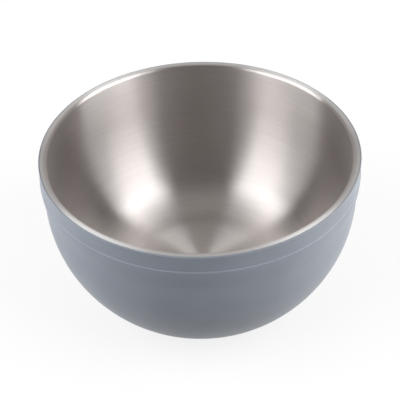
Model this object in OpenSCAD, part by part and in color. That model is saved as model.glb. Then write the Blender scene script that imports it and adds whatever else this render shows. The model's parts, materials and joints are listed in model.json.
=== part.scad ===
// Insulated double-wall bowl, open at the top, with a collar and a ledge for a push-on lid.
// A drawn liner and a drawn outer shell are joined at the rim, and the space between them is evacuated.
// Millimetres, +Z up. The origin is on the bowl's axis, in the plane that the foot stands on.

/* [Bowl] */
// Diameter over the collar
collar_d = 190; // [176:1:206]
// Height from the table to the rim
bowl_h = 103; // [98:1:116]
// Diameter of the foot, where its rounding begins
foot_d = 104; // [90:1:116]
// Rounding from the body to the foot
foot_round = 4; // [3:0.5:8]
// Drop from the rim to where the wall begins to curve in
body_drop = 27.5; // [22:0.5:32]
// How far the body lies inside the collar
body_inset = 1.1; // [0.5:0.1:1.5]

/* [Walls] */
// Sheet thickness of the liner
liner_t = 0.6; // [0.4:0.1:0.8]
// Sheet thickness of the outer shell
shell_t = 0.7; // [0.4:0.1:0.8]
// Width of the vacuum between liner and shell
wall_gap = 2.4; // [1.8:0.1:4]
// Height of the vacuum under the liner's floor
floor_gap = 5.3; // [4.4:0.1:9]
// Rounding between the liner's floor and its wall
floor_round = 36; // [24:1:44]

/* [Rim] */
// Outer radius of the liner's bend at the rim
rim_bend = 2.2; // [1.4:0.1:2.6]
// Rounding on the outer edge of the shell's rim
rim_corner = 0.6; // [0.2:0.05:0.6]
// Seam between the liner's flange and the shell
weld_seam = 0.05; // [0.02:0.01:0.1]

/* [Ledge] */
// Drop from the rim to where the ledge is widest
ledge_drop = 11.2; // [8:0.1:13]
// How far the ledge stands out of the collar
ledge_out = 0.4; // [0.3:0.05:0.7]
// Rounding on the ledge's edge
ledge_round = 0.95; // [0.9:0.05:1.2]
// Hollow rounding from the collar out to the ledge
ledge_hollow = 0.4; // [0.3:0.05:0.8]

/* [Foot] */
// Width of the flat ring that the bowl stands on, with its inner rounding
foot_ring_w = 10; // [7:0.5:14]
// Rounding on the inner edge of the ring
foot_edge = 1.2; // [1:0.1:1.8]
// Depth of the pocket inside the ring
pocket_h = 3.4; // [3:0.1:5]
// Rounding in the pocket's corner
pocket_round = 0.3; // [0.2:0.1:0.8]

/* [Base plate] */
// Sheet thickness of the base plate
plate_t = 0.6; // [0.4:0.1:0.8]
// How far the plate's face lies above the table
plate_recess = 0.8; // [0.4:0.1:1.1]
// Rounding on the plate's edge
plate_round = 1; // [0.9:0.1:1.4]
// Clearance beside the plate's turned-up edge
plate_fit = 0.1; // [0.05:0.05:0.3]

/* [Vacuum seal] */
// Diameter of the hole that the air is drawn out through
port_d = 3; // [2:0.1:5]
// Clearance between the seal and that hole
seal_fit = 0.05; // [0.02:0.01:0.1]
// Diameter of the seal's head
seal_d = 7; // [5.5:0.1:9]
// Height of the seal's head
seal_h = 1.2; // [0.6:0.1:1.4]

/* [Heat shield] */
// Thickness of the reflecting foil
foil_t = 0.15; // [0.1:0.01:0.3]
// Clearance between the foil and the liner
foil_fit = 0.2; // [0.1:0.05:0.4]
// Drop from the rim to the foil's upper edge
foil_drop = 16; // [14:0.5:20]

/* [Getter] */
// Diameter of the getter pellet
getter_d = 8.7; // [6:0.1:11]
// Height of the getter pellet
getter_h = 1.8; // [1:0.1:2.4]
// Bevel on the pellet's edges
getter_bevel = 0.4; // [0.2:0.1:0.8]
// Distance of the getter from the bowl's axis
getter_x = 16; // [12:0.5:22]
// Sheet thickness of the getter's cup
cup_t = 0.3; // [0.2:0.05:0.5]
// Clearance between the pellet and its cup
cup_fit = 0.1; // [0.05:0.05:0.3]
// Width of the cup's welded flange
cup_flange = 1.8; // [1:0.1:3]
// How far the cup's lip reaches over the pellet
cup_lip = 0.6; // [0.3:0.1:1.2]

/* [Hidden] */
$fn = 180;
// Furthest that a drawn arc lies from the true one
arc_tol = 0.01;

// Radii of the collar and the body, and the height where the body's curve begins
collar_r = collar_d / 2;
body_r = collar_r - body_inset;
body_z = bowl_h - body_drop;

// The body's curve is one arc that starts upright under the shoulder and runs into the foot's rounding.
foot_x = foot_d / 2;
foot_reach = body_r - foot_x;
foot_rise = body_z - foot_round;
body_arc_r = (foot_reach ^ 2 + foot_rise ^ 2 - foot_round ^ 2) / (2 * (foot_reach - foot_round));
body_centre = [body_r - body_arc_r, body_z];
foot_centre = [foot_x, foot_round];

// The pocket inside the foot ring
pocket_r = foot_x - foot_ring_w;
pocket_top = pocket_h + shell_t;
pocket_centre = [pocket_r - pocket_round, pocket_h - pocket_round];
edge_centre = [pocket_r + foot_edge, foot_edge];

// The liner follows the shell at an even distance, and its floor lies above the pocket.
wall_w = shell_t + wall_gap + liner_t;
liner_r = body_r - wall_w;
liner_arc_r = body_arc_r - wall_w;
floor_z = pocket_top + floor_gap + liner_t;
floor_rise = body_z - floor_z - floor_round;
floor_x = body_centre.x + sqrt((liner_arc_r - floor_round) ^ 2 - floor_rise ^ 2);
floor_centre = [floor_x, floor_z + floor_round];

// Roundings on the shell's and the liner's rim. The shell's edge stays narrower than its sheet.
rim_round = min(rim_corner, shell_t - weld_seam);
corner_centre = [collar_r - rim_round, bowl_h - rim_round];
bend_centre = [liner_r + rim_bend, bowl_h - rim_bend];

// The ledge's edge, and the hollow rounding above it that touches the collar
ledge_r = collar_r + ledge_out;
ledge_z = bowl_h - ledge_drop;
ledge_centre = [ledge_r - ledge_round, ledge_z];
hollow_run = collar_r + ledge_hollow - ledge_centre.x;
hollow_rise = sqrt((ledge_round + ledge_hollow) ^ 2 - hollow_run ^ 2);
hollow_centre = ledge_centre + [hollow_run, hollow_rise];

// The shoulder under the ledge: two equal arcs, one round and one hollow, that lead in to the body
shoulder_reach = ledge_r - body_r;
shoulder_fall = ledge_z - body_z;
shoulder_arc_r = (shoulder_fall ^ 2 + shoulder_reach ^ 2) / (4 * shoulder_reach);
shoulder_centre = [ledge_r - shoulder_arc_r, ledge_z];
waist_centre = [body_r + shoulder_arc_r, body_z];

// The plate that closes the pocket
plate_r = pocket_r - pocket_round - plate_fit;
plate_centre = [plate_r - plate_round, plate_recess + plate_round];

// The seal's domed head
port_r = port_d / 2;
seal_r = seal_d / 2;
dome_r = (seal_r ^ 2 + seal_h ^ 2) / (2 * seal_h);
dome_centre = [0, pocket_h - seal_h + dome_r];

// The getter's cup
getter_r = getter_d / 2;
cup_r = getter_r + cup_fit;
cup_h = cup_t + getter_h + cup_fit + cup_t;

// Profiles are drawn in the half plane right of the axis: x is the radius and y the height.
// A profile of sheet metal runs along one face and back along the other, at the sheet's thickness.

// Direction from one point to another, in degrees
function heading(from, to) = atan2(to.y - from.y, to.x - from.x);

// Points on an arc from one angle to another. An arc that follows another one leaves out its first point.
function arc(centre, r, from, to, first = 0) =
    let (steps = ceil(abs(to - from) / (2 * acos(1 - arc_tol / r))))
    [for (i = [first : steps])
        let (angle = from + (to - from) * i / steps)
        centre + r * [cos(angle), sin(angle)]];

// The same points from the last to the first
function reversed(points) = [for (i = [len(points) - 1 : -1 : 0]) points[i]];

// The shell's outer face moved in by inset, from the port round the foot and up to the collar
function shell_face(inset) =
    let (
        foot_angle = heading(body_centre, foot_centre),
        waist_angle = heading(waist_centre, shoulder_centre),
        ledge_angle = heading(ledge_centre, hollow_centre)
    )
    concat(
        [[port_r, pocket_h + inset]],
        arc(pocket_centre, pocket_round + inset, 90, 0),
        arc(edge_centre, foot_edge - inset, 180, 270),
        arc(foot_centre, foot_round - inset, -90, foot_angle),
        arc(body_centre, body_arc_r - inset, foot_angle, 0, 1),
        arc(waist_centre, shoulder_arc_r + inset, 180, waist_angle, 1),
        arc(shoulder_centre, shoulder_arc_r - inset, waist_angle - 180, 0, 1),
        arc(ledge_centre, ledge_round - inset, 0, ledge_angle, 1),
        arc(hollow_centre, ledge_hollow + inset, ledge_angle + 180, 180, 1)
    );

// The top of the shell's wall, from its outer face to its inner one
function shell_rim() =
    concat(
        arc(corner_centre, rim_round, 0, 90),
        [[collar_r - shell_t, bowl_h]]
    );

// The liner's inner face moved out by outset, from the axis to the top of the curved wall
function liner_face(outset) =
    let (floor_angle = heading(body_centre, floor_centre))
    concat(
        [[0, floor_z - outset]],
        arc(floor_centre, floor_round + outset, -90, floor_angle),
        arc(body_centre, liner_arc_r + outset, floor_angle, 0, 1)
    );

// The same face with the rim's bend and flange
function liner_and_rim_face(outset) =
    concat(
        liner_face(outset),
        arc(bend_centre, rim_bend - outset, 180, 90),
        [[collar_r - shell_t - weld_seam, bowl_h - outset]]
    );

// The foil's face at outset from the liner's inner face, up to the foil's edge
function foil_face(outset) =
    concat(
        liner_face(outset),
        [[liner_r + outset, bowl_h - foil_drop]]
    );

// The base plate's outer face moved in by inset, from the axis to its turned-up edge
function plate_face(inset) =
    concat(
        [[0, plate_recess + inset]],
        arc(plate_centre, plate_round - inset, -90, 0),
        [[plate_r - inset, pocket_h]]
    );

// A rectangle from one corner to the opposite one
module block(low, high) {
    translate(low)
        square(high - low);
}

// Brushed steel liner: flat floor, round wall, and a bend at the rim that ends in a short flange
module inner_bowl() {
    color([0.72, 0.70, 0.68])
        rotate_extrude()
            polygon(concat(liner_and_rim_face(0), reversed(liner_and_rim_face(liner_t))));
}

// Coated steel shell: collar, ledge, shoulder, round body, foot ring and the pocket with the port
module outer_shell() {
    color([0.44, 0.47, 0.51])
        rotate_extrude()
            polygon(concat(shell_face(0), shell_rim(), reversed(shell_face(shell_t))));
}

// Aluminium foil formed over the liner, which turns radiant heat back
module heat_shield() {
    near = liner_t + foil_fit;
    color([0.86, 0.86, 0.88])
        rotate_extrude()
            polygon(concat(foil_face(near), reversed(foil_face(near + foil_t))));
}

// Sheet cup welded to the shell's floor, with a lip that holds the pellet
module getter_cup() {
    color([0.6, 0.6, 0.62])
        translate([getter_x, 0, pocket_top])
            rotate_extrude() {
                block([0, 0], [cup_r + cup_flange, cup_t]);
                block([cup_r, 0], [cup_r + cup_t, cup_h]);
                block([getter_r - cup_lip, cup_h - cup_t], [cup_r + cup_t, cup_h]);
            }
}

// Pressed pellet that binds the gas left in the vacuum
module getter_pellet() {
    top = cup_t + getter_h;
    color([0.33, 0.33, 0.35])
        translate([getter_x, 0, pocket_top])
            rotate_extrude()
                polygon([
                    [0, cup_t],
                    [getter_r - getter_bevel, cup_t],
                    [getter_r, cup_t + getter_bevel],
                    [getter_r, top - getter_bevel],
                    [getter_r - getter_bevel, top],
                    [0, top]
                ]);
}

// Fused glass that closes the port, with a domed head on the outside
module vacuum_seal() {
    shank_r = port_r - seal_fit;
    dome_angle = asin(seal_r / dome_r);
    color([0.35, 0.45, 0.42])
        rotate_extrude()
            polygon(concat(
                [[0, pocket_top], [shank_r, pocket_top], [shank_r, pocket_h]],
                arc(dome_centre, dome_r, dome_angle - 90, -90)
            ));
}

// Pressed steel plate that closes the pocket, seated by its turned-up edge
module base_plate() {
    color([0.70, 0.70, 0.71])
        rotate_extrude()
            polygon(concat(plate_face(0), reversed(plate_face(plate_t))));
}

inner_bowl();
outer_shell();
heat_shield();
getter_cup();
getter_pellet();
vacuum_seal();
base_plate();
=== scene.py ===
"""Looks of an insulated bowl: brushed steel liner and rim, matt coated shell, turned base plate."""
import json
import math

import bpy
import numpy as np
from mathutils import Matrix, Vector


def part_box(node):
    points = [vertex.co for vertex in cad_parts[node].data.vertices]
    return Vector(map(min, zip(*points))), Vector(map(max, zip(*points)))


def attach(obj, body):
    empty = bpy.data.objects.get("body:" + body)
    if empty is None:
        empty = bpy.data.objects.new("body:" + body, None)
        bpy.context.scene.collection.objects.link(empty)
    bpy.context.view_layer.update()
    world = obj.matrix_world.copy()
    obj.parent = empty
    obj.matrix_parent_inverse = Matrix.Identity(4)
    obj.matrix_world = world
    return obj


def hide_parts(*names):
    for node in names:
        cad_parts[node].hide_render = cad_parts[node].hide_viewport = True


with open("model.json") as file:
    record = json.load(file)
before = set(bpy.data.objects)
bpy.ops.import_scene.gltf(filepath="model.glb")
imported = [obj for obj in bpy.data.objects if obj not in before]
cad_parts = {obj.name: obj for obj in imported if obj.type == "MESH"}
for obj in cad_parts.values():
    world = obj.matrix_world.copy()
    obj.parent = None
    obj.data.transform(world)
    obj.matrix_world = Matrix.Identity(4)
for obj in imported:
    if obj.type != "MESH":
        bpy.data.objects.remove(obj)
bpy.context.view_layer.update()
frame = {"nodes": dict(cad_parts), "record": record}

MM = 0.001

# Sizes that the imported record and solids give
LID_SEAT = next(m for m in frame["record"]["mounts"] if m["name"] == "lid_seat")
COLLAR_R = LID_SEAT["dims"]["r_mm"] * MM
BOWL_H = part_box("outer_shell")[1].z
PLATE_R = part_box("base_plate")[1].x

# Sizes of the shell
FOOT_R = 52.0 * MM
FOOT_ROUND = 4.0 * MM
BODY_DROP = 27.5 * MM
BODY_INSET = 1.1 * MM
SHELL_T = 0.7 * MM
FOOT_RING_W = 10.0 * MM
FOOT_EDGE = 1.2 * MM
POCKET_H = 3.4 * MM
POCKET_ROUND = 0.3 * MM
PORT_R = 1.5 * MM
RIM_CORNER = 0.6 * MM
LEDGE_DROP = 11.2 * MM
LEDGE_OUT = 0.4 * MM
LEDGE_ROUND = 0.95 * MM
LEDGE_HOLLOW = 0.4 * MM

# Sizes of the liner
LINER_T = 0.6 * MM
WALL_GAP = 2.4 * MM
FLOOR_GAP = 5.3 * MM
FLOOR_ROUND = 36.0 * MM
RIM_BEND = 2.2 * MM
WELD_SEAM = 0.05 * MM

# Sizes of the base plate
PLATE_T = 0.6 * MM
PLATE_RECESS = 0.8 * MM
PLATE_ROUND = 1.0 * MM

# How finely the round pieces are divided
SEGMENTS = 256
ARC_STEP = 2.4 * MM
LEAST_STEPS = 8
END_STEP = 0.1 * MM
SHARP_ANGLE = math.radians(35)
ON_AXIS = 1e-7
ROUND_MAP = "along_and_round"
MAP_UNIT = 0.1


# Outlines of the round pieces, as rows of radius and height

def arc(centre, radius, start, end):
    """Points on a circle from the start angle to the end angle, in degrees, at even steps."""
    length = abs(math.radians(end - start)) * radius
    steps = max(LEAST_STEPS, math.ceil(length / ARC_STEP))
    angles = np.radians(np.linspace(start, end, steps + 1))
    return np.column_stack((centre[0] + radius * np.cos(angles), centre[1] + radius * np.sin(angles)))


def flat(start, end):
    """Straight line between two points, with a point close to each end that keeps its shading flat."""
    start = np.asarray(start)
    end = np.asarray(end)
    near = END_STEP / np.linalg.norm(end - start)
    share = np.array((0.0, near, 1.0 - near, 1.0))[:, None]
    return start * (1.0 - share) + end * share


def heading(a, b):
    """Angle, in degrees, of the line from point a to point b."""
    return math.degrees(math.atan2(b[1] - a[1], b[0] - a[0]))


def tangent_arc(reach, rise, small):
    """Radius of the arc that ends upright and meets a small arc, reach in and rise down, smoothly."""
    return (reach**2 + rise**2 - small**2) / (2.0 * (reach - small))


BODY_R = COLLAR_R - BODY_INSET
BODY_Z = BOWL_H - BODY_DROP
FOOT_CENTRE = (FOOT_R, FOOT_ROUND)
BODY_ARC = tangent_arc(BODY_R - FOOT_R, BODY_Z - FOOT_ROUND, FOOT_ROUND)
BODY_CENTRE = (BODY_R - BODY_ARC, BODY_Z)
POCKET_R = FOOT_R - FOOT_RING_W
POCKET_CENTRE = (POCKET_R - POCKET_ROUND, POCKET_H - POCKET_ROUND)
EDGE_CENTRE = (POCKET_R + FOOT_EDGE, FOOT_EDGE)
CORNER_CENTRE = (COLLAR_R - RIM_CORNER, BOWL_H - RIM_CORNER)
LEDGE_R = COLLAR_R + LEDGE_OUT
LEDGE_Z = BOWL_H - LEDGE_DROP
LEDGE_CENTRE = (LEDGE_R - LEDGE_ROUND, LEDGE_Z)
HOLLOW_RUN = COLLAR_R + LEDGE_HOLLOW - LEDGE_CENTRE[0]
HOLLOW_RISE = math.sqrt((LEDGE_ROUND + LEDGE_HOLLOW) ** 2 - HOLLOW_RUN**2)
HOLLOW_CENTRE = (LEDGE_CENTRE[0] + HOLLOW_RUN, LEDGE_Z + HOLLOW_RISE)
SHOULDER_ARC = ((LEDGE_Z - BODY_Z) ** 2 + (LEDGE_R - BODY_R) ** 2) / (4.0 * (LEDGE_R - BODY_R))
SHOULDER_CENTRE = (LEDGE_R - SHOULDER_ARC, LEDGE_Z)
WAIST_CENTRE = (BODY_R + SHOULDER_ARC, BODY_Z)

LINER_R = BODY_R - SHELL_T - WALL_GAP - LINER_T
LINER_ARC = BODY_ARC - (BODY_R - LINER_R)
FLOOR_Z = POCKET_H + SHELL_T + FLOOR_GAP + LINER_T
BEND_CENTRE = (LINER_R + RIM_BEND, BOWL_H - RIM_BEND)


def floor_centre():
    """Centre of the floor's round edge, which touches both the flat floor and the wall's arc."""
    z = FLOOR_Z + FLOOR_ROUND
    run = math.sqrt((LINER_ARC - FLOOR_ROUND) ** 2 - (z - BODY_CENTRE[1]) ** 2)
    return (BODY_CENTRE[0] + run, z)


FLOOR_CENTRE = floor_centre()


def shell_face(inset):
    """Shell's outside from the port under the foot, over the ring, body and ledge, up the collar."""
    foot_turn = heading(BODY_CENTRE, FOOT_CENTRE)
    waist_turn = heading(WAIST_CENTRE, SHOULDER_CENTRE)
    ledge_turn = heading(LEDGE_CENTRE, HOLLOW_CENTRE)
    pocket = arc(POCKET_CENTRE, POCKET_ROUND + inset, 90, 0)
    edge = arc(EDGE_CENTRE, FOOT_EDGE - inset, 180, 270)
    foot = arc(FOOT_CENTRE, FOOT_ROUND - inset, -90, foot_turn)
    hollow = arc(HOLLOW_CENTRE, LEDGE_HOLLOW + inset, ledge_turn + 180, 180)
    return np.vstack((
        flat((PORT_R, POCKET_H + inset), pocket[0]),
        pocket,
        edge,
        flat(edge[-1], foot[0]),
        foot,
        arc(BODY_CENTRE, BODY_ARC - inset, foot_turn, 0),
        arc(WAIST_CENTRE, SHOULDER_ARC + inset, 180, waist_turn),
        arc(SHOULDER_CENTRE, SHOULDER_ARC - inset, waist_turn - 180, 0),
        arc(LEDGE_CENTRE, LEDGE_ROUND - inset, 0, ledge_turn),
        hollow,
        flat(hollow[-1], (COLLAR_R - inset, CORNER_CENTRE[1])),
    ))


def shell_rim():
    """Top of the shell's wall: the rounded outer edge, then the flat ring to the inner face."""
    corner = arc(CORNER_CENTRE, RIM_CORNER, 0, 90)
    return np.vstack((corner, flat(corner[-1], (COLLAR_R - SHELL_T, BOWL_H))))


def liner_face(outset):
    """Liner's inside from the middle of the floor, up the wall and over the rim to the weld."""
    floor_turn = heading(BODY_CENTRE, FLOOR_CENTRE)
    edge = arc(FLOOR_CENTRE, FLOOR_ROUND + outset, -90, floor_turn)
    wall = arc(BODY_CENTRE, LINER_ARC + outset, floor_turn, 0)
    bend = arc(BEND_CENTRE, RIM_BEND - outset, 180, 90)
    return np.vstack((
        flat((0.0, FLOOR_Z - outset), edge[0]),
        edge,
        wall,
        flat(wall[-1], bend[0]),
        bend,
        flat(bend[-1], (COLLAR_R - SHELL_T - WELD_SEAM, BOWL_H - outset)),
    ))


def plate_face(inset):
    """Base plate's underside from its middle out to the turned-up edge."""
    edge = arc((PLATE_R - PLATE_ROUND, PLATE_RECESS + PLATE_ROUND), PLATE_ROUND - inset, -90, 0)
    return np.vstack((
        flat((0.0, PLATE_RECESS + inset), edge[0]),
        edge,
        flat(edge[-1], (PLATE_R - inset, POCKET_H)),
    ))


# Surfaces

def carry_round(name, face, back):
    """A sheet's outline carried once round the Z axis.

    The outline runs along one face of the sheet and back along the other. A point of radius r and
    height z goes to (r cos a, r sin a, z) at each of the even angles a. Ends on the axis become one
    point each, and an outline that stays off the axis closes on itself. The map's first number is the
    length along the outline and its second is the share of the turn.
    """
    outline = np.vstack((face, back[::-1]))
    step = np.linalg.norm(np.diff(outline, axis=0), axis=1)
    outline = outline[np.concatenate(([True], step > ON_AXIS))]
    x, z = outline.T
    if np.sum(x * np.roll(z, -1) - np.roll(x, -1) * z) < 0:
        outline = outline[::-1]
    poles = outline[outline[:, 0] < ON_AXIS]
    rings = outline[outline[:, 0] >= ON_AXIS]
    angles = np.arange(SEGMENTS) * (2.0 * math.pi / SEGMENTS)
    turned = np.stack((np.cos(angles), np.sin(angles)), axis=-1)
    places = np.empty((len(rings), SEGMENTS, 3))
    places[:, :, :2] = rings[:, None, :1] * turned[None]
    places[:, :, 2] = rings[:, None, 1]
    points = places.reshape(-1, 3)
    row = np.arange(len(rings) * SEGMENTS).reshape(len(rings), SEGMENTS)
    if len(poles):
        pole_points = np.column_stack((np.zeros((len(poles), 2)), poles[:, 1]))
        points = np.vstack((points, pole_points))
        first = np.full((1, SEGMENTS), len(points) - len(poles))
        last = np.full((1, SEGMENTS), len(points) - 1)
        row = np.vstack((first, row, last))
        along = outline
    else:
        row = np.vstack((row, row[:1]))
        along = np.vstack((outline, outline[:1]))
    length = np.concatenate(([0.0], np.cumsum(np.linalg.norm(np.diff(along, axis=0), axis=1))))
    after = np.roll(row, -1, axis=1)
    faces = np.stack((row[:-1], after[:-1], after[1:], row[1:]), axis=-1)
    share = np.arange(SEGMENTS) / SEGMENTS
    u = np.broadcast_to(length[:, None] / MAP_UNIT, row.shape)
    v = np.broadcast_to(share[None], row.shape)
    v_after = v + 1.0 / SEGMENTS
    corners = np.stack((
        np.stack((u[:-1], v[:-1]), axis=-1),
        np.stack((u[:-1], v_after[:-1]), axis=-1),
        np.stack((u[1:], v_after[1:]), axis=-1),
        np.stack((u[1:], v[1:]), axis=-1),
    ), axis=2)
    if len(poles):
        # A face at an end on the axis has three corners: the doubled one is left out
        start = np.delete(faces[0], 1, axis=-1), np.delete(corners[0], 1, axis=1)
        end = np.delete(faces[-1], 3, axis=-1), np.delete(corners[-1], 3, axis=1)
        between = faces[1:-1].reshape(-1, 4), corners[1:-1].reshape(-1, 2)
        polygons = between[0].tolist() + start[0].tolist() + end[0].tolist()
        mapped = np.vstack((between[1], start[1].reshape(-1, 2), end[1].reshape(-1, 2)))
    else:
        polygons = faces.reshape(-1, 4).tolist()
        mapped = corners.reshape(-1, 2)
    return new_piece(name, points, polygons, mapped)


def new_piece(name, points, polygons, mapped):
    """An object at the origin whose mesh has the points, the faces and the map, shaded smooth."""
    mesh = bpy.data.meshes.new(name)
    mesh.from_pydata(points.tolist(), [], polygons)
    layer = mesh.uv_layers.new(name=ROUND_MAP)
    layer.data.foreach_set("uv", np.asarray(mapped, np.float32).ravel())
    mesh.polygons.foreach_set("use_smooth", np.ones(len(polygons), bool))
    mesh.set_sharp_from_angle(angle=SHARP_ANGLE)
    mesh.update()
    piece = bpy.data.objects.new(name, mesh)
    bpy.context.scene.collection.objects.link(piece)
    return piece


# Node helpers

# Sockets of a mix node, by number: two numbers and their mix, then two colours and theirs
MIX_NUMBERS = (2, 3)
MIX_NUMBER = 0
MIX_COLOURS = (6, 7)
MIX_COLOUR = 2

# Curve from a screen's levels to linear light
SCREEN_TOP = 255.0
SCREEN_KNEE = 0.04045
SCREEN_SLOPE = 12.92
SCREEN_OFFSET = 0.055
SCREEN_POWER = 2.4

# Noise levels between which a finish goes from one end to the other
NOISE_LOW = 0.3
NOISE_HIGH = 0.7
LINE_ROUGHNESS = 0.6


def new_material(name):
    """An empty node material with its output."""
    material = bpy.data.materials.new(name)
    material.use_nodes = True
    tree = material.node_tree
    tree.nodes.clear()
    output = tree.nodes.new("ShaderNodeOutputMaterial")
    return material, tree, output


def add(tree, kind, inputs=None, **options):
    """Add a node, set its options, and link or set each named input."""
    node = tree.nodes.new(kind)
    for option, value in options.items():
        setattr(node, option, value)
    for key, value in (inputs or {}).items():
        if isinstance(value, bpy.types.NodeSocket):
            tree.links.new(value, node.inputs[key])
        else:
            node.inputs[key].default_value = value
    return node


def maths(tree, operation, first, second=0.0):
    """Result of one sum on two numbers or sockets."""
    return add(tree, "ShaderNodeMath", {0: first, 1: second}, operation=operation).outputs[0]


def spread(tree, value, low, high, to_low, to_high):
    """Value taken from one range to another, held at the ends."""
    inputs = {"Value": value, "From Min": low, "From Max": high, "To Min": to_low, "To Max": to_high}
    return add(tree, "ShaderNodeMapRange", inputs).outputs["Result"]


def by_noise(tree, noise, to_low=0.0, to_high=1.0):
    """Value that goes from one end to the other as the noise goes from its low to its high level."""
    return spread(tree, noise, NOISE_LOW, NOISE_HIGH, to_low, to_high)


def weighed(tree, first, second, share):
    """First times a share, plus second times the rest."""
    part = maths(tree, "MULTIPLY", first, share)
    rest = maths(tree, "MULTIPLY", second, 1.0 - share)
    return maths(tree, "ADD", part, rest)


def between(tree, share, first, second):
    """Number between two numbers by a share."""
    inputs = {"Factor": share, MIX_NUMBERS[0]: first, MIX_NUMBERS[1]: second}
    return add(tree, "ShaderNodeMix", inputs).outputs[MIX_NUMBER]


def opaque(colour):
    """A colour's socket as it is, or its three numbers with full cover."""
    return colour if isinstance(colour, bpy.types.NodeSocket) else (*colour, 1.0)


def tint(tree, share, first, second):
    """Colour between two colours by a share."""
    inputs = {"Factor": share, MIX_COLOURS[0]: opaque(first), MIX_COLOURS[1]: opaque(second)}
    return add(tree, "ShaderNodeMix", inputs, data_type="RGBA").outputs[MIX_COLOUR]


def linear(red, green, blue):
    """Linear colour of three screen levels from 0 to 255."""
    levels = np.array((red, green, blue)) / SCREEN_TOP
    low = levels / SCREEN_SLOPE
    high = ((levels + SCREEN_OFFSET) / (1.0 + SCREEN_OFFSET)) ** SCREEN_POWER
    return tuple(float(c) for c in np.where(levels <= SCREEN_KNEE, low, high))


def object_place(tree):
    """Place on the piece, in metres."""
    return add(tree, "ShaderNodeTexCoord").outputs["Object"]


def cloud_noise(tree, place, scale, detail):
    """Noise that is alike in all directions."""
    inputs = {"Vector": place, "Scale": scale, "Detail": detail}
    return add(tree, "ShaderNodeTexNoise", inputs).outputs[0]


def round_place(tree):
    """Radius from the Z axis, height, and the cosine and sine of the direction round the axis."""
    split = add(tree, "ShaderNodeSeparateXYZ", {0: object_place(tree)}).outputs
    level = add(tree, "ShaderNodeCombineXYZ", {"X": split["X"], "Y": split["Y"]}).outputs[0]
    radius = add(tree, "ShaderNodeVectorMath", {0: level}, operation="LENGTH").outputs["Value"]
    way = add(tree, "ShaderNodeVectorMath", {0: level}, operation="NORMALIZE").outputs["Vector"]
    turn = add(tree, "ShaderNodeSeparateXYZ", {0: way}).outputs
    return radius, split["Z"], turn["X"], turn["Y"]


def round_lines(tree, spot, per_metre, per_turn, detail):
    """Noise drawn out into lines round the Z axis.

    The noise reads radius and height, many times over a metre, and the direction round the axis as a
    cosine and a sine, only a few times over a turn, so the lines have no seam.
    """
    radius, height, cosine, sine = spot
    point = add(tree, "ShaderNodeCombineXYZ", {
        "X": maths(tree, "MULTIPLY", radius, per_metre),
        "Y": maths(tree, "MULTIPLY", height, per_metre),
        "Z": maths(tree, "MULTIPLY", cosine, per_turn),
    })
    inputs = {
        "Vector": point.outputs[0],
        "W": maths(tree, "MULTIPLY", sine, per_turn),
        "Scale": 1.0,
        "Detail": detail,
        "Roughness": LINE_ROUGHNESS,
    }
    return add(tree, "ShaderNodeTexNoise", inputs, noise_dimensions="4D").outputs[0]


def along_outline(tree):
    """Direction along the piece's outline, across the brushing, from the piece's own map."""
    return add(tree, "ShaderNodeTangent", direction_type="UV_MAP", uv_map=ROUND_MAP).outputs[0]


def bumped(tree, height, strength, depth):
    """Surface direction tilted by a height."""
    inputs = {"Height": height, "Strength": strength, "Distance": depth}
    return add(tree, "ShaderNodeBump", inputs).outputs["Normal"]


# Finish of the liner: its wall, its floor and the flat of its rim

STEEL_DARK = (0.583, 0.553, 0.543)
STEEL_LIGHT = (0.671, 0.639, 0.626)
# Painted light: the floor's tints are the wall's steel made lighter, for the brighter light on the
# floor. Their dark and light by the lines are real
PAINTED_LIT_FLOOR_DARK = (0.637, 0.608, 0.597)
PAINTED_LIT_FLOOR_LIGHT = (0.733, 0.702, 0.689)
# Painted highlight: the flat of the rim is the same steel, given a cooler, lighter tint for the light
# its upturned flat catches
PAINTED_LIT_RIM_STEEL = (0.755, 0.765, 0.775)
LINER_ROUGH = 0.33
FLOOR_ROUGH = 0.385
RIM_ROUGH = 0.345
ROUGH_SWING = 0.027
LINER_BRUSH = 1.0
FINE_LINES = {"per_metre": 2600.0, "per_turn": 3.0, "detail": 2.0}
BROAD_LINES = {"per_metre": 700.0, "per_turn": 2.0, "detail": 3.0}
FINE_SHARE = 0.5
LINER_BUMP = {"strength": 0.2, "depth": 0.02 * MM}
FLOOR_FULL_R = 0.8 * FLOOR_CENTRE[0]
FLOOR_END_R = FLOOR_CENTRE[0]
RIM_START_Z = BOWL_H - 2.0 * RIM_BEND
RIM_FULL_Z = BOWL_H - 0.5 * RIM_BEND
FLAT_START_R = BEND_CENTRE[0] - 0.5 * RIM_BEND
FLAT_FULL_R = BEND_CENTRE[0] + 0.2 * RIM_BEND


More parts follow.
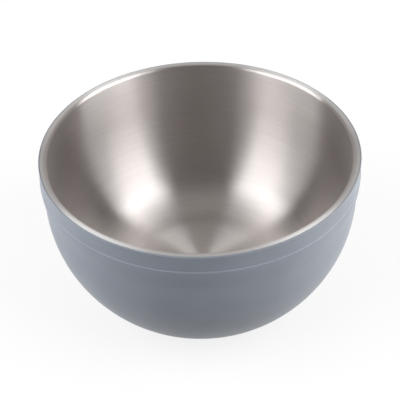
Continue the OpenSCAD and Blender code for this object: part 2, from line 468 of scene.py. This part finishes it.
def brushed_liner_steel():
    """Steel brushed round the axis, so that its gloss is soft along the outline and sharp round it.

    The lines change its tint and gloss a little. The floor is softer than the wall, and its lighter tint
    is painted light on the same steel;
    the flat of the rim has one cooler, lighter tint, which is a painted highlight.
    """
    material, tree, output = new_material("brushed_liner_steel")
    spot = round_place(tree)
    radius, height = spot[:2]
    fine = round_lines(tree, spot, **FINE_LINES)
    broad = round_lines(tree, spot, **BROAD_LINES)
    lines = weighed(tree, fine, broad, FINE_SHARE)
    on_floor = spread(tree, radius, FLOOR_FULL_R, FLOOR_END_R, 1.0, 0.0)
    on_rim = spread(tree, height, RIM_START_Z, RIM_FULL_Z, 0.0, 1.0)
    on_flat = spread(tree, radius, FLAT_START_R, FLAT_FULL_R, 0.0, 1.0)
    share = by_noise(tree, lines)
    wall_colour = tint(tree, share, STEEL_DARK, STEEL_LIGHT)
    # Floor tint lifted as painted light
    painted_lit_floor_colour = tint(tree, share, PAINTED_LIT_FLOOR_DARK, PAINTED_LIT_FLOOR_LIGHT)
    colour = tint(tree, on_floor, wall_colour, painted_lit_floor_colour)
    # Painted highlight on the flat of the rim
    colour = tint(tree, maths(tree, "MULTIPLY", on_rim, on_flat), colour, PAINTED_LIT_RIM_STEEL)
    wall_rough = by_noise(tree, lines, LINER_ROUGH - ROUGH_SWING, LINER_ROUGH + ROUGH_SWING)
    floor_rough = maths(tree, "MULTIPLY", wall_rough, FLOOR_ROUGH / LINER_ROUGH)
    rim_rough = maths(tree, "MULTIPLY", wall_rough, RIM_ROUGH / LINER_ROUGH)
    rough = between(tree, on_floor, wall_rough, floor_rough)
    shader = add(tree, "ShaderNodeBsdfPrincipled", {
        "Base Color": colour,
        "Metallic": 1.0,
        "Roughness": between(tree, on_rim, rough, rim_rough),
        "Anisotropic": LINER_BRUSH,
        "Tangent": along_outline(tree),
        "Normal": bumped(tree, fine, **LINER_BUMP),
    })
    tree.links.new(shader.outputs[0], output.inputs["Surface"])
    return material


# Finish of the coated shell

COAT_DARK = linear(140, 147, 158)
COAT_LIGHT = linear(149, 156, 167)
# Painted shade: the coat's upper edge is darkened where its rounded corner would otherwise catch light
# from above
PAINTED_SHADE_COAT_EDGE = linear(137, 143, 152)
COAT_ROUGH = 0.4
COAT_ROUGH_SWING = 0.05
COAT_SPECULAR = 0.3
COAT_GRAIN = {"scale": 1600.0, "detail": 2.0}
COAT_CLOUD = {"scale": 35.0, "detail": 3.0}
GRAIN_SHARE = 0.4
COAT_LOW = 0.35
COAT_HIGH = 0.65
COAT_BUMP = {"strength": 0.3, "depth": 0.03 * MM}
PAINTED_SHADE_START_Z = BOWL_H - RIM_CORNER
PAINTED_SHADE_FULL_Z = BOWL_H - 0.2 * RIM_CORNER


def shell_coat():
    """Matt baked coat: fine grain, a faint unevenness in colour and gloss, and painted shade that
    darkens the upper edge.
    """
    material, tree, output = new_material("shell_coat")
    place = object_place(tree)
    grain = cloud_noise(tree, place, **COAT_GRAIN)
    cloud = cloud_noise(tree, place, **COAT_CLOUD)
    share = spread(tree, weighed(tree, grain, cloud, GRAIN_SHARE), COAT_LOW, COAT_HIGH, 0.0, 1.0)
    height = add(tree, "ShaderNodeSeparateXYZ", {0: place}).outputs["Z"]
    # Mask of the painted shade at the upper edge
    painted_shade_at_edge = spread(tree, height, PAINTED_SHADE_START_Z, PAINTED_SHADE_FULL_Z, 0.0, 1.0)
    colour = tint(tree, share, COAT_DARK, COAT_LIGHT)
    shader = add(tree, "ShaderNodeBsdfPrincipled", {
        "Base Color": tint(tree, painted_shade_at_edge, colour, PAINTED_SHADE_COAT_EDGE),
        "Roughness": by_noise(tree, grain, COAT_ROUGH - COAT_ROUGH_SWING, COAT_ROUGH + COAT_ROUGH_SWING),
        "Specular IOR Level": COAT_SPECULAR,
        "Normal": bumped(tree, grain, **COAT_BUMP),
    })
    tree.links.new(shader.outputs[0], output.inputs["Surface"])
    return material


# Finish of the base plate

PLATE_DARK = (0.48, 0.47, 0.46)
PLATE_LIGHT = (0.60, 0.59, 0.58)
PLATE_ROUGH_LOW = 0.3
PLATE_ROUGH_HIGH = 0.42
PLATE_BRUSH = 0.6
PLATE_LINES = {"per_metre": 1500.0, "per_turn": 1.0, "detail": 2.0}
RINGS_PER_METRE = 4200.0
RING_DEPTH = 0.3
PLATE_BUMP = {"strength": 0.3, "depth": 0.03 * MM}


def turned_plate_steel():
    """Plate steel with turning rings: a sine of the radius with fine lines on it."""
    material, tree, output = new_material("turned_plate_steel")
    spot = round_place(tree)
    lines = round_lines(tree, spot, **PLATE_LINES)
    ring = maths(tree, "SINE", maths(tree, "MULTIPLY", spot[0], RINGS_PER_METRE))
    relief = maths(tree, "ADD", maths(tree, "MULTIPLY", ring, RING_DEPTH), lines)
    shader = add(tree, "ShaderNodeBsdfPrincipled", {
        "Base Color": tint(tree, by_noise(tree, lines), PLATE_DARK, PLATE_LIGHT),
        "Metallic": 1.0,
        "Roughness": by_noise(tree, lines, PLATE_ROUGH_LOW, PLATE_ROUGH_HIGH),
        "Anisotropic": PLATE_BRUSH,
        "Tangent": along_outline(tree),
        "Normal": bumped(tree, relief, **PLATE_BUMP),
    })
    tree.links.new(shader.outputs[0], output.inputs["Surface"])
    return material


# Finishes of the inner pieces

INNER_DETAIL = 4.0
INNER_ROUGH_SWING = 0.06
INNER_BUMP = 0.5


def noisy_finish(name, dark, light, scale, metallic, rough, depth, transmission=0.0):
    """Finish of an inner piece: cloudy colour, uneven gloss and a low relief from one noise."""
    material, tree, output = new_material(name)
    noise = cloud_noise(tree, object_place(tree), scale, INNER_DETAIL)
    shader = add(tree, "ShaderNodeBsdfPrincipled", {
        "Base Color": tint(tree, by_noise(tree, noise), dark, light),
        "Metallic": metallic,
        "Roughness": by_noise(tree, noise, rough - INNER_ROUGH_SWING, rough + INNER_ROUGH_SWING),
        "Transmission Weight": transmission,
        "Normal": bumped(tree, noise, INNER_BUMP, depth),
    })
    tree.links.new(shader.outputs[0], output.inputs["Surface"])
    return material


# Pieces

liner = carry_round("brushed_liner", liner_face(0.0), liner_face(LINER_T))
liner.data.materials.append(brushed_liner_steel())
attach(liner, "root")
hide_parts("inner_bowl")

shell = carry_round("coated_shell", np.vstack((shell_face(0.0), shell_rim())), shell_face(SHELL_T))
shell.data.materials.append(shell_coat())
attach(shell, "root")
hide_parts("outer_shell")

plate = carry_round("turned_base_plate", plate_face(0.0), plate_face(PLATE_T))
plate.data.materials.append(turned_plate_steel())
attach(plate, "root")
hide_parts("base_plate")

INNER_FINISHES = {
    "heat_shield": noisy_finish(
        "creased_foil", dark=(0.72, 0.72, 0.73), light=(0.86, 0.86, 0.87),
        scale=300.0, metallic=1.0, rough=0.3, depth=0.1 * MM),
    "getter_cup": noisy_finish(
        "pressed_cup_steel", dark=(0.45, 0.44, 0.43), light=(0.58, 0.57, 0.56),
        scale=900.0, metallic=1.0, rough=0.4, depth=0.02 * MM),
    "getter_pellet": noisy_finish(
        "pressed_getter_powder", dark=(0.10, 0.10, 0.105), light=(0.20, 0.195, 0.19),
        scale=2500.0, metallic=0.6, rough=0.75, depth=0.05 * MM),
    "vacuum_seal": noisy_finish(
        "fused_seal_glass", dark=(0.55, 0.62, 0.60), light=(0.75, 0.80, 0.78),
        scale=600.0, metallic=0.0, rough=0.15, depth=0.02 * MM, transmission=0.5),
}
for node_name, finish in INNER_FINISHES.items():
    for slot in frame["nodes"][node_name].material_slots:
        slot.material = finish

# Studio floor of pale paper

PAPER_REACH = 9.0
PAPER_RINGS = 14
PAPER_SIDES = 96
BACKDROP_HIGH = 2.1
PAPER_GREY = 0.2
PAPER_TOOTH = {"scale": 900.0, "detail": 2.0}
PAPER_BUMP = {"strength": 0.05, "depth": 0.02 * MM}
PAPER_GLOW = 0.8
BACKDROP_GLOW = 0.42
WHITE_LIGHT = (1.0, 1.0, 1.0)


def studio_floor():
    """A flat disc in a low round wall.

    Ring k of n has radius reach times (k / n) squared, at the foot's height, and one more ring stands
    straight above the last as the top of the wall.
    """
    radius = PAPER_REACH * (np.arange(1, PAPER_RINGS + 1) / PAPER_RINGS) ** 2
    radius = np.append(radius, PAPER_REACH)
    height = np.append(np.zeros(PAPER_RINGS), BACKDROP_HIGH)
    angles = np.arange(PAPER_SIDES) * (2.0 * math.pi / PAPER_SIDES)
    x = radius[:, None] * np.cos(angles)
    y = radius[:, None] * np.sin(angles)
    z = np.broadcast_to(height[:, None], x.shape)
    points = np.stack((x, y, z), axis=-1).reshape(-1, 3)
    row = np.arange(len(points)).reshape(len(radius), PAPER_SIDES)
    after = np.roll(row, -1, axis=1)
    quads = np.stack((row[:-1], row[1:], after[1:], after[:-1]), axis=-1).reshape(-1, 4)
    mesh = bpy.data.meshes.new("studio_floor")
    mesh.from_pydata(points.tolist(), [], quads.tolist() + [row[0].tolist()])
    floor = bpy.data.objects.new("studio_floor", mesh)
    bpy.context.scene.collection.objects.link(floor)
    return floor


def seen_directly(tree):
    """One for rays from the camera and for mirrored or refracted rays, else nought."""
    path = add(tree, "ShaderNodeLightPath")
    seen = maths(tree, "MAXIMUM", path.outputs["Is Camera Ray"], path.outputs["Is Glossy Ray"])
    return maths(tree, "MAXIMUM", seen, path.outputs["Is Transmission Ray"])


def pale_floor():
    """Paper that keeps the shadow, lifted towards white for rays that look at it, less up the wall."""
    material, tree, output = new_material("pale_floor")
    place = object_place(tree)
    tooth = cloud_noise(tree, place, **PAPER_TOOTH)
    height = add(tree, "ShaderNodeSeparateXYZ", {0: place}).outputs["Z"]
    level = spread(tree, height, 0.0, BACKDROP_HIGH, PAPER_GLOW, BACKDROP_GLOW)
    paper = add(tree, "ShaderNodeBsdfDiffuse", {
        "Color": (PAPER_GREY, PAPER_GREY, PAPER_GREY, 1.0),
        "Normal": bumped(tree, tooth, **PAPER_BUMP),
    })
    glow = add(tree, "ShaderNodeEmission", {
        "Color": opaque(WHITE_LIGHT),
        "Strength": maths(tree, "MULTIPLY", seen_directly(tree), level),
    })
    both = add(tree, "ShaderNodeAddShader", {0: paper.outputs[0], 1: glow.outputs[0]})
    tree.links.new(both.outputs[0], output.inputs["Surface"])
    return material


floor = studio_floor()
floor.data.materials.append(pale_floor())

# Studio light

AIM = Vector((0.0, 0.0, 0.07))
LAMP_AWAY = 1.3
WARM_LIGHT = (1.0, 0.95, 0.92)
AMBER_LIGHT = (1.0, 0.92, 0.83)
WORLD_LEVEL = 0.032


def softbox(name, colour, azimuth, elevation, wide, high, level):
    """A soft rectangular lamp of one colour that fills a wide by high angle, seen from the bowl.

    Angles are in degrees, the azimuth from the camera's right, counter-clockwise from above. The level
    is the brightness of its face, so its power is the level times pi times its area.
    """
    away = Vector((
        math.cos(math.radians(elevation)) * math.cos(math.radians(azimuth)),
        math.cos(math.radians(elevation)) * math.sin(math.radians(azimuth)),
        math.sin(math.radians(elevation)),
    ))
    data = bpy.data.lights.new(name, "AREA")
    data.shape = "RECTANGLE"
    data.size = 2.0 * LAMP_AWAY * math.tan(math.radians(wide / 2.0))
    data.size_y = 2.0 * LAMP_AWAY * math.tan(math.radians(high / 2.0))
    data.energy = level * math.pi * data.size * data.size_y
    data.color = colour
    lamp = bpy.data.objects.new(name, data)
    lamp.location = AIM + away * LAMP_AWAY
    lamp.rotation_euler = (-away).to_track_quat("-Z", "Y").to_euler()
    lamp.visible_camera = False
    bpy.context.scene.collection.objects.link(lamp)


softbox("softbox_left", WHITE_LIGHT, azimuth=195.8, elevation=34.4, wide=53.4, high=51.0, level=3.35)
softbox("softbox_right", WHITE_LIGHT, azimuth=342.4, elevation=30.6, wide=47.5, high=63.0, level=3.42)
softbox("softbox_back", WARM_LIGHT, azimuth=90.0, elevation=56.0, wide=62.0, high=38.0, level=0.92)
softbox("softbox_top", WARM_LIGHT, azimuth=270.0, elevation=84.0, wide=30.0, high=30.0, level=0.57)
softbox("softbox_low_back", WARM_LIGHT, azimuth=90.0, elevation=18.0, wide=56.0, high=34.0, level=0.3)
softbox("softbox_low_left", WHITE_LIGHT, azimuth=173.0, elevation=-0.3, wide=50.0, high=5.0, level=11.0)
softbox("softbox_low_right", AMBER_LIGHT, azimuth=6.0, elevation=-0.3, wide=50.0, high=5.0, level=18.7)


def studio_world():
    """A faint warm light, even from all round."""
    world = bpy.data.worlds.new("studio_world")
    world.use_nodes = True
    tree = world.node_tree
    tree.nodes.clear()
    glow = add(tree, "ShaderNodeBackground", {"Color": opaque(WARM_LIGHT), "Strength": WORLD_LEVEL})
    output = tree.nodes.new("ShaderNodeOutputWorld")
    tree.links.new(glow.outputs[0], output.inputs["Surface"])
    bpy.context.scene.world = world


studio_world()

# Camera, as fitted to the photograph

PHOTO_SIDE = 400.0
PHOTO_FOCAL = 1059.7
SENSOR = 36.0
NEAREST_SEEN = 0.01
VIEW_ELEVATION = math.radians(36.94)
VIEW_DISTANCE = 6.595 * COLLAR_R
VIEW_YAW = -0.0009
VIEW_PITCH = -0.0488
VIEW_ROLL = -0.0279


def photo_camera():
    """Camera in front of the rim's centre, raised by the elevation, then turned by small angles."""
    away = Vector((0.0, -math.cos(VIEW_ELEVATION), math.sin(VIEW_ELEVATION)))
    right = Vector((1.0, 0.0, 0.0))
    ahead = -away
    up = right.cross(ahead)
    ahead = (ahead + math.tan(VIEW_YAW) * right + math.tan(VIEW_PITCH) * up).normalized()
    right = ahead.cross(Vector((0.0, 0.0, 1.0))).normalized()
    up = right.cross(ahead)
    side = math.cos(VIEW_ROLL) * right + math.sin(VIEW_ROLL) * up
    top = math.cos(VIEW_ROLL) * up - math.sin(VIEW_ROLL) * right
    data = bpy.data.cameras.new("photo_camera")
    data.sensor_width = SENSOR
    data.lens = PHOTO_FOCAL * SENSOR / PHOTO_SIDE
    data.clip_start = NEAREST_SEEN
    camera = bpy.data.objects.new("photo_camera", data)
    turn = Matrix((side, top, -ahead)).transposed().to_4x4()
    place = Vector((0.0, 0.0, BOWL_H)) + away * VIEW_DISTANCE
    camera.matrix_world = Matrix.Translation(place) @ turn
    bpy.context.scene.collection.objects.link(camera)
    bpy.context.scene.camera = camera


photo_camera()
bpy.context.scene.view_settings.view_transform = "Standard"
